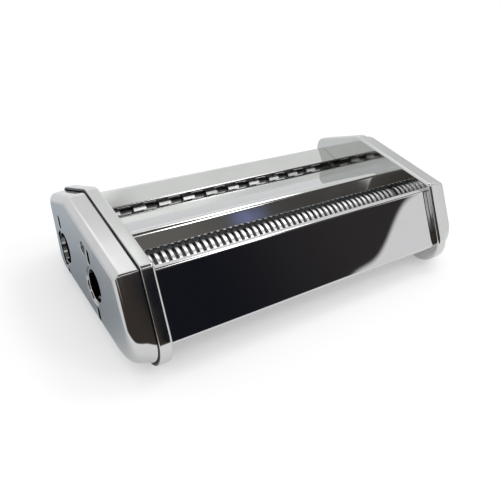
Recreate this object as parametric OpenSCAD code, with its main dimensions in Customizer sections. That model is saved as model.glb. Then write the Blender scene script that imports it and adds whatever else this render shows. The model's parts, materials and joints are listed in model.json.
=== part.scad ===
// Double cutter head of a hand-cranked pasta machine.
// X runs along the rollers, Y to the back, Z up; the origin is the centre of the base.
// Section points are [y, z] pairs measured from the front top corner of the end plates.

/* [End plates] */
// Clear width between the two end plates
inner_w = 146; // [120:1:180]
// Height of the front top corner above the base
front_h = 40.2; // [39:0.2:46]
// Depth from the front top corner to the rear face
rear_d = 82.6; // [81.6:0.2:90]
// Length of the straight top rim, measured along Y
rim_run = 52.7; // [48:0.5:58]
// Rise of the top rim towards the rear, in degrees
rim_tilt = 5.8; // [3:0.2:8]
// Fall of the rear shoulder, in degrees
shoulder_fall = 23.5; // [18:0.5:27]
// Lean of the front face from the base, in degrees
front_lean = 58.8; // [55:0.2:62]
// Corner radius at the front bottom
front_bottom_r = 11.5; // [8:0.5:14]
// Corner radius at the rear bottom
rear_bottom_r = 8; // [5:0.5:10]
// Corner radius where the shoulder meets the rear face
shoulder_r = 5.5; // [3:0.5:7]
// Corner radius at the rear end of the rim
rim_rear_r = 7; // [3:0.5:9]
// Corner radius at the front end of the rim
rim_front_r = 2.5; // [1.5:0.5:4]
// Width of the raised band round each end plate
band_w = 5.4; // [4.4:0.2:6.4]
// Sheet thickness of the band
band_t = 1.2; // [0.8:0.1:1.3]
// Sheet thickness of the end plate web
web_t = 1.5; // [1:0.1:2]
// Rounding of the band's inner edge
band_inner_round = 1.2; // [0.6:0.1:1.5]
// Rounding of the band's outer edge
band_outer_round = 0.5; // [0.3:0.1:0.8]

/* [End caps] */
// Depth of the left cap beyond the band
left_cap_depth = 9.6; // [9:0.2:12]
// Depth of the right cap beyond the band
right_cap_depth = 7.6; // [6.6:0.2:12]
// Step from the band down to the cap
cap_recess = 1.5; // [1.4:0.1:2]
// Wall thickness of a cap
cap_wall = 1.6; // [1.2:0.1:1.8]
// Rounding of the cap's front edge
cap_front_round = 2.6; // [1:0.2:3.4]
// Rounding of the cap's top edge
cap_top_round = 3; // [1:0.2:3.6]
// Rounding of the cap's shoulder edge
cap_shoulder_round = 4; // [1:0.2:4.6]
// Rounding of the cap's bottom edge
cap_bottom_round = 7; // [4:0.2:7.6]
// Share of its inset that a cap's front bottom corner loses from its radius
cap_bottom_tightening = 0.15; // [0:0.05:0.6]
// Share of its inset that any other corner of a cap loses from its radius
cap_corner_tightening = 0.6; // [0.2:0.05:0.8]
// How far the flat face stops short of the rear face at the shoulder
cap_rear_top_in = 10; // [8:0.5:13]
// How far the flat face stops short of the rear face at the base
cap_rear_base_in = 28; // [22:0.5:31]
// Radius of a crank hole in the left cap
crank_hole_r = 6.6; // [6:0.1:7]
// Width of the ring pressed round a crank hole
crank_ring_w = 1.3; // [0.8:0.1:1.6]
// Depth of the ring pressed round a crank hole
crank_ring_d = 0.5; // [0.3:0.1:0.7]
// Width of a motor slot
motor_slot_w = 3; // [2.4:0.1:3.4]
// Length of a motor slot
motor_slot_l = 6; // [5:0.5:7]
// Distance of a motor slot from the crank axis
motor_slot_reach = 11.6; // [11.2:0.1:12.4]
// Tilt of the line of motor slots, in degrees from upright
motor_slot_tilt = 19; // [10:1:24]

/* [Rollers] */
// Outer radius of the cutting discs
roller_r = 7.5; // [7.3:0.05:7.6]
// Radius of the bottom of the grooves
groove_r = 5.9; // [5.6:0.05:6.1]
// Distance between the two axes of a pair
axis_gap = 14.2; // [14.1:0.05:14.4]
// Width of a strand from the narrow cutter
fine_strand = 1.5; // [1.2:0.1:2]
// Width of a strand from the wide cutter
wide_strand = 6.45; // [5:0.05:8]
// Side clearance between interleaved discs
disc_gap = 0.08; // [0.05:0.01:0.12]
// Least distance from the first disc to an end plate
disc_margin = 1.2; // [1:0.1:2]
// Y of the narrow cutter's nip
fine_nip_y = 14.9; // [13:0.1:16]
// Depth of the narrow cutter's axes below the front top corner
fine_axis_drop = 19.7; // [19:0.1:20.5]
// Distance of the wide cutter's nip from the rear face
wide_nip_in = 19.1; // [18.4:0.1:20]
// Depth of the wide cutter's axes below the front top corner
wide_axis_drop = 22.9; // [22:0.1:24]
// Radius of the roller journals
journal_r = 4.5; // [4:0.1:4.8]
// Running clearance between a journal and its bush, on the radius
running_gap = 0.05; // [0.02:0.01:0.1]
// Wall thickness of a bush
bush_wall = 1.45; // [1:0.05:1.6]
// Thickness of a bush's flange
bush_flange_t = 0.8; // [0.5:0.1:0.9]
// Radius added by a bush's flange
bush_flange_w = 0.9; // [0.5:0.1:1]
// Clearance of a bush in the end plate, on the radius
press_gap = 0.02; // [0.01:0.01:0.04]

/* [Crank sockets] */
// Radius of the bore that takes the crank
crank_bore_r = 4; // [3.5:0.1:4.4]
// Depth of the crank bore
crank_bore_l = 7; // [5:0.5:8]
// Outer radius of the socket
socket_r = 5.9; // [5.6:0.1:6.2]
// Length of the socket
socket_l = 8.6; // [8.4:0.1:9.4]
// Width of the drive slot across the socket
drive_slot_w = 2.2; // [1.6:0.1:2.6]
// Depth of the drive slot
drive_slot_d = 3; // [2:0.5:4]

/* [Gears] */
// Number of teeth on each gear
gear_teeth = 12; // [12, 14, 16]
// Pressure angle in degrees
pressure_angle = 25; // [24:0.5:26]
// Backlash measured at the pitch circle
gear_backlash = 0.16; // [0.1:0.02:0.24]
// Thickness of a gear
gear_t = 4; // [3:0.5:4.5]
// Gap between the end plate and a gear or socket
gear_gap = 0.5; // [0.3:0.1:0.7]
// Thickness of a retaining clip
clip_t = 0.8; // [0.6:0.1:1]
// Radius added by a retaining clip
clip_w = 1.6; // [1:0.1:1.9]
// Depth of a clip's groove in the journal
clip_groove = 0.5; // [0.3:0.1:0.7]
// Length of journal left beyond a clip
journal_tail = 0.8; // [0.5:0.1:1.2]

/* [Covers] */
// Thickness of the cover sheets
sheet_t = 0.8; // [0.6:0.1:0.9]
// Step from the band down to the front panel and the rear cover
cover_recess = 2.8; // [2:0.1:3.2]
// Drop of the front panel's top fold below the rim
panel_top_drop = 3.4; // [2.5:0.1:4.5]
// Height of the front panel's lower edge above the base
panel_foot_h = 11; // [9:0.5:14]
// Drop of the rear cover's lower edge below the rollers
rear_foot_drop = 3.4; // [3:0.2:4.6]
// Radius of the rolled lower edge of a cover
hem_r = 1.8; // [1.5:0.1:2.4]
// Width of the ledge behind the panel's top fold
panel_ledge = 2.2; // [1.4:0.1:2.6]
// Rise of that ledge, in degrees
ledge_rise = 8; // [0:1:14]
// Length of the panel's feed lip
feed_lip = 7; // [5:0.5:8]
// Steepness of the panel's feed lip, in degrees
feed_lip_fall = 66; // [60:1:75]
// Height of the centre cover's front edge above the roller tops
brow_h = 1.8; // [1.6:0.1:2.4]
// Overhang of the centre cover's front edge past the roller's axis
brow_y = 1.4; // [1:0.1:2.4]
// Height of the centre cover's front fold above its front edge
fold_rise = 6.2; // [5:0.1:7]
// Run of the centre cover's front fold behind its front edge
fold_run = 4.6; // [3.6:0.1:6]
// Radius of the centre cover's front fold
fold_r = 2.6; // [2:0.1:3.2]
// Width of the rear feed slot in front of the nip
slot_front = 3.7; // [3.2:0.1:4.2]
// Width of the rear feed slot behind the nip
slot_rear = 1.4; // [1:0.1:2]
// Height of the slot's front lip above the roller tops
slot_lip_h = 0.6; // [0.5:0.1:1]
// Height of the slot's rear lip above its front lip
slot_step = 0.9; // [0.4:0.1:1.4]
// Length of the rear cover's lip in the slot
slot_lip_l = 1.8; // [1.6:0.1:2.2]
// Rise of the rear cover's top towards the rear, in degrees
rear_rise = 12.8; // [8:0.2:14]
// Bend radius of the sheets
bend_r = 1.6; // [1.2:0.1:2]

/* [Combs] */
// Thickness of a comb bar
comb_bar_t = 3; // [2:0.2:3.4]
// Height of a comb bar
comb_bar_h = 5; // [4:0.2:6]
// Drop of a comb bar below the roller
comb_drop = 2.2; // [1.6:0.1:3]
// Gap between a tine and the roller
comb_gap = 0.25; // [0.2:0.05:0.4]
// Angle of a tine's tip below the plane of the axes
tine_angle = 28; // [24:1:36]
// Gap between a tine and the disc beside it
tine_gap = 0.33; // [0.25:0.01:0.4]
// Distance of a comb bar from below its roller's axis
comb_offset = 0.8; // [0.4:0.1:1.2]

/* [Frame] */
// Gap between the front tie rod and the panel's rolled edge
front_rod_gap = 0.2; // [0.1:0.1:0.5]
// Height of the front tie rod above the panel's lower edge
front_rod_rise = 0.5; // [0:0.1:1.5]
// Height of the upper tie rod above the narrow cutter's axes
upper_rod_rise = 4.4; // [3:0.2:6]
// Height of the lower tie rod above the base
lower_rod_h = 7; // [5.5:0.5:9]
// Radius of the tie rods
rod_r = 2.2; // [1.8:0.1:2.6]
// Radius of the rods' threaded ends
rod_thread_r = 1.5; // [1.2:0.1:1.7]
// Width across flats of a tie rod nut
nut_af = 5.5; // [5:0.1:6]
// Height of a tie rod nut
nut_h = 2.4; // [2:0.2:3]
// Radius of a cap screw
screw_r = 1.5; // [1.2:0.1:1.7]
// Radius of a cap screw's head
screw_head_r = 2.5; // [2.2:0.1:2.9]
// Height of a cap screw's head
screw_head_h = 1.6; // [1.2:0.1:2]
// Distance of a cap screw behind the narrow cutter's drive axis
screw_back = 9.6; // [9:0.1:11]
// Height of a cap screw above the narrow cutter's axes
screw_rise = 11.7; // [10.6:0.1:12.4]
// Length of a screw head's cross
cross_l = 3.6; // [3:0.1:4]
// Width of a screw head's cross
cross_w = 0.8; // [0.6:0.1:1]
// Width of a slide channel
slide_w = 16; // [13:0.5:20]
// Height of a slide channel
slide_h = 15; // [10:1:16]
// Height of a slide channel above the rear cover's rolled edge
slide_rise = 0.6; // [0.2:0.1:1.5]
// Distance of a slide channel from the end plate
slide_inset = 8; // [5:1:14]
// Thickness of the rail that a slide channel takes
rail_t = 1; // [0.8:0.1:1.2]
// Sheet thickness of a slide channel
channel_t = 0.7; // [0.5:0.1:0.8]
// Width of a slide channel's inner lip
channel_lip = 3; // [2:0.2:4]

/* [Hidden] */

$fn = 64;
sliver = 0.01;                  // thickness of a slice that a hull joins
arc_steps = 6;                  // segments in a rounded corner of an outline
loft_steps = 9;                 // slices in a cap's rounded edge
round_steps = 4;                // slices in the band's rounded edges
hem_run = 3;                    // width of a rolled edge, in hem radii
boss_wall = 0.9;                // wall of the boss round a cap screw's head
screw_sink = 0.6;               // depth of a screw head below the cap's face
head_gap = 0.15;                // clearance round a sunk screw head
thread_out = 0.6;               // thread that shows beyond a nut
lip_radius = 0.6;               // bend radius of the rear cover's lip, in bend radii
top_radius = 2;                 // bend radius of the rear cover's top, in bend radii

// Corners of the end plate, as [y, z] from the front top corner
rim_front = [0, 0];
rim_rear = [rim_run, rim_run * tan(rim_tilt)];
shoulder = [rear_d, rim_rear[1] - (rear_d - rim_run) * tan(shoulder_fall)];
base_rear = [rear_d, -front_h];
base_front = [-front_h / tan(front_lean), -front_h];
plate_corners = [rim_front, base_front, base_rear, shoulder, rim_rear];
plate_radii = [rim_front_r, front_bottom_r, rear_bottom_r, shoulder_r, rim_rear_r];

// The base front corner's arc reaches furthest forward
front_most = base_front[0] + front_bottom_r / tan(front_lean / 2) - front_bottom_r;
centre_y = (front_most + rear_d) / 2;

// Roller axes
fine_z = -fine_axis_drop;
wide_z = -wide_axis_drop;
wide_nip_y = rear_d - wide_nip_in;
fine_drive = [fine_nip_y + axis_gap / 2, fine_z];
fine_follower = [fine_nip_y - axis_gap / 2, fine_z];
wide_drive = [wide_nip_y - axis_gap / 2, wide_z];
wide_follower = [wide_nip_y + axis_gap / 2, wide_z];
axes = [fine_drive, fine_follower, wide_drive, wide_follower];

// Disc layout: each roller has as many discs as fit, half a pitch from its partner's
fine_pitch = 2 * (fine_strand + disc_gap);
wide_pitch = 2 * (wide_strand + disc_gap);
fine_count = floor((inner_w - 2 * disc_margin) / fine_pitch);
wide_count = floor((inner_w - 2 * disc_margin) / wide_pitch);
drive_phase = 0.75;
follower_phase = 0.25;

bush_r = journal_r + running_gap + bush_wall;
bush_hole_r = bush_r + press_gap;
gear_x = web_t + gear_gap;
clip_x = gear_x + gear_t;
socket_x = gear_x + socket_l;

left_cap_out = band_w + left_cap_depth;
function cap_depth(side) = side < 0 ? left_cap_depth : right_cap_depth;
function cap_out(side) = band_w + cap_depth(side);

// Cover sheets
front_dir = [cos(front_lean), sin(front_lean)];
front_in = [sin(front_lean), -cos(front_lean)];
panel_start = cover_recess * front_in;
panel_top = panel_start - front_dir * ((panel_top_drop + panel_start[1]) / front_dir[1]);
panel_foot = panel_top + front_dir * ((panel_foot_h - front_h - panel_top[1]) / front_dir[1]);
panel_hem = panel_foot + hem_run * hem_r * [1, 0];
panel_rear = panel_top + panel_ledge * [cos(ledge_rise), sin(ledge_rise)];
panel_lip = panel_rear + feed_lip * [cos(feed_lip_fall), -sin(feed_lip_fall)];
brow = [fine_drive[0] + brow_y, fine_z + roller_r + brow_h];
fold = brow + [fold_run, fold_rise];
slot_lip_front = [wide_nip_y - slot_front, wide_z + roller_r + slot_lip_h];
slot_lip_rear = [wide_nip_y + slot_rear, slot_lip_front[1] + slot_step];
rear_face_y = rear_d - cover_recess;
rear_top = [rear_face_y, slot_lip_rear[1] + (rear_face_y - slot_lip_rear[0]) * tan(rear_rise)];
rear_foot = [rear_face_y, wide_z - roller_r - rear_foot_drop];
rear_hem = rear_foot - hem_run * hem_r * [1, 0];

// Frame
front_rod = panel_hem + [rod_r + front_rod_gap, front_rod_rise];
upper_rod = [(fine_drive[0] + wide_drive[0]) / 2, fine_z + upper_rod_rise];
lower_rod = [upper_rod[0], lower_rod_h - front_h];
rods = [front_rod, upper_rod, lower_rod];
screw_at = fine_drive + [screw_back, screw_rise];
boss_r = screw_head_r + boss_wall;

function unit(v) = v / norm(v);
function cross2(a, b) = a[0] * b[1] - a[1] * b[0];
function polar(r, a) = [r * cos(a), r * sin(a)];
function angle_of(v) = atan2(v[1], v[0]);

// Arc of radius r that rounds corner b between a and c
function corner_arc(a, b, c, r) =
    let (u = unit(a - b), v = unit(c - b), half = acos(u * v) / 2,
         mid = b + unit(u + v) * r / sin(half),
         start = angle_of(b + u * r / tan(half) - mid),
         stop = angle_of(b + v * r / tan(half) - mid),
         turn = (stop - start + 540) % 360 - 180)
    [for (k = [0:arc_steps]) mid + polar(r, start + turn * k / arc_steps)];

function rounded(points, radii) =
    let (n = len(points))
    [for (i = [0:n - 1])
        each corner_arc(points[(i + n - 1) % n], points[i], points[(i + 1) % n], radii[i])];

// Point where the line through p along u meets the line through q along v
function meet(p, u, q, v) = p + u * cross2(q - p, v) / cross2(u, v);

// Closed outline whose side i, from corner i to corner i + 1, moves inwards by insets[i]
function inset(points, insets) =
    let (n = len(points),
         along = [for (i = [0:n - 1]) unit(points[(i + 1) % n] - points[i])],
         moved = [for (i = [0:n - 1]) points[i] + insets[i] * [-along[i][1], along[i][0]]])
    [for (i = [0:n - 1]) meet(moved[(i + n - 1) % n], along[(i + n - 1) % n], moved[i], along[i])];

function plate_outline(d) =
    rounded(inset(plate_corners, [d, d, d, d, d]), [for (r = plate_radii) max(r - d, 0.6)]);

// Quarter ellipse: how far an edge of the given rounding has come in at depth x
function come_in(x, depth, rounding) =
    let (reach = min(rounding, depth), t = max(0, (x - depth + reach) / reach))
    rounding * (1 - sqrt(max(0, 1 - t * t)));

// Outline of a cap, wall inside its surface, at depth x beyond the band
function cap_outline(full_depth, x, wall) =
    let (depth = full_depth - wall,
         rear = 1 - sqrt(max(0, 1 - pow(x / depth, 2))),
         corners = [rim_front, base_front, base_rear - [cap_rear_base_in * rear, 0],
                    shoulder - cap_rear_top_in * rear * [1, -tan(shoulder_fall)], rim_rear],
         in = cap_recess + wall,
         insets = [in + come_in(x, depth, cap_front_round), in + come_in(x, depth, cap_bottom_round),
                   in, in + come_in(x, depth, cap_shoulder_round),
                   in + come_in(x, depth, cap_top_round)])
    rounded(inset(corners, insets),
            [for (i = [0:4]) max(plate_radii[i] - insets[i] * (
                i == 1 ? cap_bottom_tightening : cap_corner_tightening), 0.8)]);

// Open sheet: path is the outer face, radii round its bends, t is thickness to its right
function bends(path, radii) =
    [for (i = [0:len(path) - 1])
        each (i == 0 || i == len(path) - 1 ? [path[i]]
            : corner_arc(path[i - 1], path[i], path[i + 1], radii[i]))];

function side_step(path, t) =
    let (n = len(path),
         along = [for (i = [0:n - 2]) unit(path[i + 1] - path[i])],
         moved = [for (i = [0:n - 2]) path[i] + t * [along[i][1], -along[i][0]]])
    [for (i = [0:n - 1])
        i == 0 ? moved[0]
        : i == n - 1 ? path[i] + t * [along[n - 2][1], -along[n - 2][0]]
        : meet(moved[i - 1], along[i - 1], moved[i], along[i])];

function turn_sign(path, i) =
    i == 0 || i == len(path) - 1 ? 0 : sign(cross2(path[i] - path[i - 1], path[i + 1] - path[i]));

function reversed(list) = [for (i = [len(list) - 1:-1:0]) list[i]];

function sheet(path, radii, t) =
    concat(bends(path, radii),
           reversed(bends(side_step(path, t),
                          [for (i = [0:len(path) - 1]) max(radii[i] + t * turn_sign(path, i), 0.05)])));

// Moves a piece from section coordinates to the row's frame
module place() translate([0, -centre_y, front_h]) children();

module along_x(x, length) translate([x, 0, 0]) rotate([90, 0, 90]) linear_extrude(length) children();

module rod_x(at, x, length, r) translate([x, at[0], at[1]]) rotate([0, 90, 0]) cylinder(r = r, h = length);

// Mirrors a left-hand piece, modelled outwards from the end plate, onto either end
module at_end(side) translate([side * inner_w / 2, 0, 0]) mirror([side < 0 ? 1 : 0, 0, 0]) children();

// Slices of the band's rounded edge, from its face at x
module band_edge(x, r) for (k = [0:round_steps]) let (a = 90 * k / round_steps)
    along_x(x + r * (1 - cos(a)), sliver) polygon(plate_outline(r * (1 - sin(a))));

module end_plate(side) color("gainsboro") place() at_end(side) difference() {
    hull() {
        band_edge(0, band_inner_round);
        translate([band_w, 0, 0]) mirror([1, 0, 0]) band_edge(0, band_outer_round);
    }
    along_x(web_t, band_w) polygon(plate_outline(band_t));
    for (a = axes) rod_x(a, -1, web_t + 2, bush_hole_r);
    for (a = rods) rod_x(a, -1, web_t + 2, rod_thread_r + press_gap);
    rod_x(screw_at, -1, web_t + 2, screw_r + press_gap);
}

module cap_solid(side, wall) {
    depth = cap_depth(side) - wall;
    hull() for (k = [0:loft_steps]) let (x = depth * sin(90 * k / loft_steps))
        along_x(band_w + x - sliver, sliver)
        polygon(cap_outline(cap_depth(side), min(x, depth), wall));
}

module cap_shell(side) {
    out = cap_out(side);
    head = out - screw_head_h - screw_sink;
    difference() {
        union() {
            cap_solid(side, 0);
            along_x(web_t, band_w - web_t) polygon(cap_outline(cap_depth(side), 0, 0));
        }
        difference() {
            union() {
                cap_solid(side, cap_wall);
                along_x(web_t - 1, band_w - web_t + 1)
                    polygon(cap_outline(cap_depth(side), 0, cap_wall));
            }
            rod_x(screw_at, web_t - 1, out, boss_r);
        }
        rod_x(screw_at, web_t - 1, out + 2, screw_r + press_gap);
        rod_x(screw_at, head, out, screw_head_r + press_gap + head_gap);
    }
}

module motor_slots(axis) for (side = [-1, 1]) {
    middle = axis + side * motor_slot_reach * [sin(motor_slot_tilt), cos(motor_slot_tilt)];
    translate([left_cap_out - cap_wall - 1, middle[0], middle[1]])
    rotate([90, 0, 90]) rotate([0, 0, 90 - motor_slot_tilt]) {
        half = (motor_slot_l - motor_slot_w) / 2;
        translate([-half, -motor_slot_w / 2, 0]) cube([2 * half, motor_slot_w, cap_wall + 3]);
        for (end = [-half, half]) translate([end, 0, 0]) cylinder(d = motor_slot_w, h = cap_wall + 3);
    }
}

module left_end_cap() color("silver") place() at_end(-1) difference() {
    cap_shell(-1);
    for (a = [fine_drive, wide_drive]) {
        rod_x(a, left_cap_out - cap_wall - 1, cap_wall + 3, crank_hole_r);
        rod_x(a, left_cap_out - crank_ring_d, 2, crank_hole_r + crank_ring_w);
        motor_slots(a);
    }
}

module right_end_cap() color("silver") place() at_end(1) cap_shell(1);

module cap_screw(side) color("dimgray") place() at_end(side) {
    head = cap_out(side) - screw_head_h - screw_sink;
    difference() {
        union() {
            rod_x(screw_at, 0, head, screw_r);
            rod_x(screw_at, head, screw_head_h, screw_head_r);
        }
        translate([head + screw_head_h, screw_at[0], screw_at[1]]) {
            cube([screw_head_h, cross_l, cross_w], center = true);
            cube([screw_head_h, cross_w, cross_l], center = true);
        }
    }
}

module cover(path, radii) along_x(-inner_w / 2, inner_w) polygon(sheet(path, radii, sheet_t));

module front_panel() color("darkgray") place()
    cover([panel_hem + [0, 2 * hem_r], panel_hem, panel_foot, panel_top, panel_rear, panel_lip],
          [0, hem_r, hem_r, bend_r, lip_radius * bend_r, 0]);

module centre_cover() color("silver") place()
    cover([brow, fold, slot_lip_front], [0, fold_r, 0]);

module rear_cover() color("lightgray") place()
    cover([slot_lip_rear - [0, slot_lip_l], slot_lip_rear, rear_top, rear_foot,
           rear_hem, rear_hem + [0, 2 * hem_r]],
          [0, lip_radius * bend_r, top_radius * bend_r, hem_r, hem_r, 0]);

// Outline of a journal's end in [radius, distance from the end plate's inner face]
function clip_end(x) =
    let (small = journal_r - clip_groove, far = x + clip_t)
    [[journal_r, x], [small, x], [small, far], [journal_r, far],
     [journal_r, far + journal_tail], [0, far + journal_tail]];

function socket_end() = [[journal_r, gear_x], [0, gear_x]];

// Roller with interleaving discs, revolved about its axis
module cutter(axis, count, pitch, strand, phase, left_end) place()
    translate([-inner_w / 2, axis[0], axis[1]]) rotate([0, 90, 0]) rotate_extrude() {
        first = (inner_w - count * pitch) / 2;
        face = inner_w - disc_margin;
        polygon(concat(
            [for (p = reversed(left_end)) [p[0], -p[1]]],
            [[journal_r, disc_margin], [groove_r, disc_margin]],
            [for (k = [0:count - 1]) let (x = first + (k + phase) * pitch)
                each [[groove_r, x - strand / 2], [roller_r, x - strand / 2],
                      [roller_r, x + strand / 2], [groove_r, x + strand / 2]]],
            [[groove_r, face], [journal_r, face]],
            [for (p = clip_end(clip_x)) [p[0], inner_w + p[1]]]));
    }

module fine_cutter(axis, phase, left_end)
    cutter(axis, fine_count, fine_pitch, fine_strand, phase, left_end);

module wide_cutter(axis, phase, left_end)
    cutter(axis, wide_count, wide_pitch, wide_strand, phase, left_end);

module fine_drive_roller() color("whitesmoke") fine_cutter(fine_drive, drive_phase, socket_end());
module fine_follower_roller() color("whitesmoke")
    fine_cutter(fine_follower, follower_phase, clip_end(gear_x));
module wide_drive_roller() color("whitesmoke") wide_cutter(wide_drive, drive_phase, socket_end());
module wide_follower_roller() color("whitesmoke")
    wide_cutter(wide_follower, follower_phase, clip_end(gear_x));

module crank_socket(axis) color("dimgray") place() at_end(-1) difference() {
    rod_x(axis, gear_x, socket_l, socket_r);
    rod_x(axis, socket_x - crank_bore_l, crank_bore_l + 1, crank_bore_r);
    translate([socket_x - drive_slot_d, axis[0] - socket_r - 1, axis[1] - drive_slot_w / 2])
        cube([drive_slot_d + 1, 2 * socket_r + 2, drive_slot_w]);
}

// Half the angle that a tooth spans at radius r
function involute(a) = tan(a) - a * PI / 180;
function tooth_half(r, pitch_r, base_r) =
    90 / gear_teeth + (involute(pressure_angle) - involute(acos(min(1, base_r / r)))
                       - gear_backlash / (4 * pitch_r)) * 180 / PI;

function gear_outline(turn) =
    let (pitch_r = axis_gap / 2, module_size = axis_gap / gear_teeth,
         base_r = pitch_r * cos(pressure_angle),
         tip_r = pitch_r + module_size, root_r = pitch_r - 1.25 * module_size,
         start_r = max(base_r, root_r), flank_steps = 5,
         flank = [for (k = [0:flank_steps]) start_r + (tip_r - start_r) * k / flank_steps])
    [for (i = [0:gear_teeth - 1]) let (at = turn + 360 * i / gear_teeth)
        each concat([polar(root_r, at - tooth_half(start_r, pitch_r, base_r))],
                    [for (r = flank) polar(r, at - tooth_half(r, pitch_r, base_r))],
                    [for (r = reversed(flank)) polar(r, at + tooth_half(r, pitch_r, base_r))],
                    [polar(root_r, at + tooth_half(start_r, pitch_r, base_r))])];

module spur_gear(axis, turn) color("darkgoldenrod") place() at_end(1) difference() {
    translate([0, axis[0], axis[1]]) along_x(gear_x, gear_t) polygon(gear_outline(turn));
    rod_x(axis, gear_x - 1, gear_t + 2, journal_r + press_gap);
}

module clip(axis, x, side) place() at_end(side) difference() {
    rod_x(axis, x, clip_t, journal_r + clip_w);
    rod_x(axis, x - 1, clip_t + 2, journal_r - clip_groove + press_gap);
    translate([x - 1, axis[0] - journal_r * 0.7, axis[1] - 2 * journal_r])
        cube([clip_t + 2, journal_r * 1.4, 2 * journal_r]);
}

module drive_clip(axis) color("dimgray") clip(axis, clip_x, 1);
module follower_clips(axis) color("dimgray") {
    clip(axis, clip_x, 1);
    clip(axis, gear_x, -1);
}

module bush(axis, side) color("ivory") place() at_end(side) difference() {
    union() {
        rod_x(axis, -bush_flange_t, bush_flange_t + web_t, bush_r);
        rod_x(axis, -bush_flange_t, bush_flange_t, bush_r + bush_flange_w);
    }
    rod_x(axis, -bush_flange_t - 1, web_t + bush_flange_t + 2, journal_r + running_gap);
}

// Comb whose tines lie in one roller's grooves; nip_side is the Y direction of its nip
module comb(axis, nip_side, count, pitch, strand, phase) color("lightsteelblue") place() {
    tine_t = strand + 2 * disc_gap - 2 * tine_gap;
    inner_r = groove_r + comb_gap;
    bar_top = roller_r + comb_drop;
    bar_far = comb_offset + comb_bar_t;
    tine = concat([polar(roller_r - comb_gap, tine_angle)],
                  [for (a = [tine_angle + 2:9:84]) polar(inner_r, a)],
                  [[comb_offset, bar_top + 1], [bar_far, bar_top + 1]]);
    first = (inner_w - count * pitch) / 2;
    for (k = [0:count - 1])
        along_x(first + (k + 1 - phase) * pitch - tine_t / 2 - inner_w / 2, tine_t)
        polygon([for (p = tine) axis + [nip_side * p[0], -p[1]]]);
    bar_y = axis[0] + (nip_side > 0 ? comb_offset : -bar_far);
    translate([-inner_w / 2, bar_y, axis[1] - bar_top - comb_bar_h])
        cube([inner_w, comb_bar_t, comb_bar_h]);
}

module fine_comb(axis, nip_side, phase) comb(axis, nip_side, fine_count, fine_pitch, fine_strand, phase);
module wide_comb(axis, nip_side, phase) comb(axis, nip_side, wide_count, wide_pitch, wide_strand, phase);

module tie_rod(at) color("silver") place() {
    thread_l = web_t + nut_h + thread_out;
    rod_x(at, -inner_w / 2, inner_w, rod_r);
    rod_x(at, -inner_w / 2 - thread_l, inner_w + 2 * thread_l, rod_thread_r);
}

module tie_rod_nuts() color("silver") place()
    for (side = [-1, 1], at = rods) at_end(side) difference() {
        translate([web_t, at[0], at[1]]) rotate([0, 90, 0])
            cylinder(d = nut_af / cos(30), h = nut_h, $fn = 6);
        rod_x(at, web_t - 1, nut_h + 2, rod_thread_r);
    }

module slide_channel(side) color("gray") place() {
    depth = 2 * channel_t + rail_t;
    low = rear_foot[1] + hem_r + slide_rise;
    translate([side * (inner_w / 2 - slide_inset - slide_w / 2), rear_face_y, low]) difference() {
        translate([-slide_w / 2, 0, 0]) cube([slide_w, depth, slide_h]);
        translate([channel_t - slide_w / 2, channel_t, -1])
            cube([slide_w - 2 * channel_t, rail_t, slide_h + 2]);
        translate([channel_lip - slide_w / 2, channel_t, -1])
            cube([slide_w - 2 * channel_lip, depth, slide_h + 2]);
    }
}

end_plate(-1);  // left_end_plate
end_plate(1);  // right_end_plate
left_end_cap();
right_end_cap();
cap_screw(-1);  // left_cap_screw
cap_screw(1);  // right_cap_screw
front_panel();
centre_cover();
rear_cover();
fine_drive_roller();
fine_follower_roller();
wide_drive_roller();
wide_follower_roller();
crank_socket(fine_drive);  // fine_crank_socket
crank_socket(wide_drive);  // wide_crank_socket
spur_gear(fine_drive, 0);  // fine_drive_gear
spur_gear(fine_follower, 180 / gear_teeth);  // fine_follower_gear
spur_gear(wide_drive, 0);  // wide_drive_gear
spur_gear(wide_follower, 180 / gear_teeth);  // wide_follower_gear
drive_clip(fine_drive);  // fine_drive_clip
follower_clips(fine_follower);  // fine_follower_clips
drive_clip(wide_drive);  // wide_drive_clip
follower_clips(wide_follower);  // wide_follower_clips
bush(fine_drive, -1);  // fine_drive_left_bush
bush(fine_drive, 1);  // fine_drive_right_bush
bush(fine_follower, -1);  // fine_follower_left_bush
bush(fine_follower, 1);  // fine_follower_right_bush
bush(wide_drive, -1);  // wide_drive_left_bush
bush(wide_drive, 1);  // wide_drive_right_bush
bush(wide_follower, -1);  // wide_follower_left_bush
bush(wide_follower, 1);  // wide_follower_right_bush
fine_comb(fine_drive, -1, drive_phase);  // fine_rear_comb
fine_comb(fine_follower, 1, follower_phase);  // fine_front_comb
wide_comb(wide_drive, 1, drive_phase);  // wide_front_comb
wide_comb(wide_follower, -1, follower_phase);  // wide_rear_comb
tie_rod(front_rod);  // front_tie_rod
tie_rod(upper_rod);  // upper_tie_rod
tie_rod(lower_rod);  // lower_tie_rod
tie_rod_nuts();
slide_channel(-1);  // left_slide_channel
slide_channel(1);  // right_slide_channel
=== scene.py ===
"""Studio dressing of a double pasta cutter head: chromed caps, polished sheet covers and turned cutters."""
from __future__ import annotations

import json
import logging
import math
from dataclasses import dataclass, replace
from enum import Enum
from typing import Any, Sequence

import bmesh
import bpy
from mathutils import Matrix, Vector

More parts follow.
